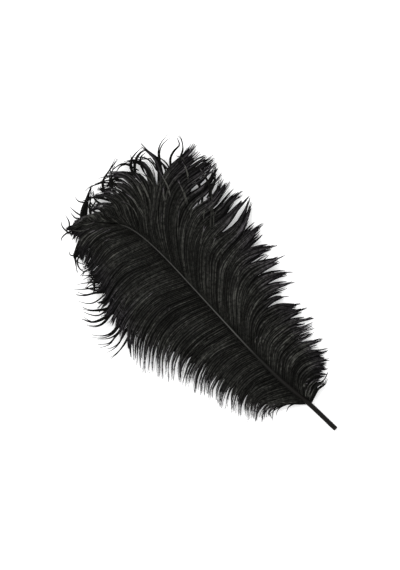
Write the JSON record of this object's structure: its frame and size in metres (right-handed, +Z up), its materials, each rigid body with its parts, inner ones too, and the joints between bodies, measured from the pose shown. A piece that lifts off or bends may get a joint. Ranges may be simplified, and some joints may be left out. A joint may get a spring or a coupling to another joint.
{
  "type": "ostrich feather",
  "caption": "Black ostrich plume lying on a surface: a bare cut quill, a gently curved shaft and two wide soft vanes whose barbs hang in curling, pointed locks.",
  "frame": {"origin": "on the surface that the feather lies on, under the middle of its box", "axes": "+Y along the shaft from the quill's cut end to the tip, +Z up from the surface, +X to the wider vane"},
  "size_m": [0.179, 0.2982, 0.0181],
  "materials": {
    "plume": "soft black dyed barbs with a faint silky sheen; the quill and shaft are smooth, slightly glossy horn, a little lighter"
  },
  "bodies": {
    "root": {"feather": "plume"}
  },
  "joints": []
}
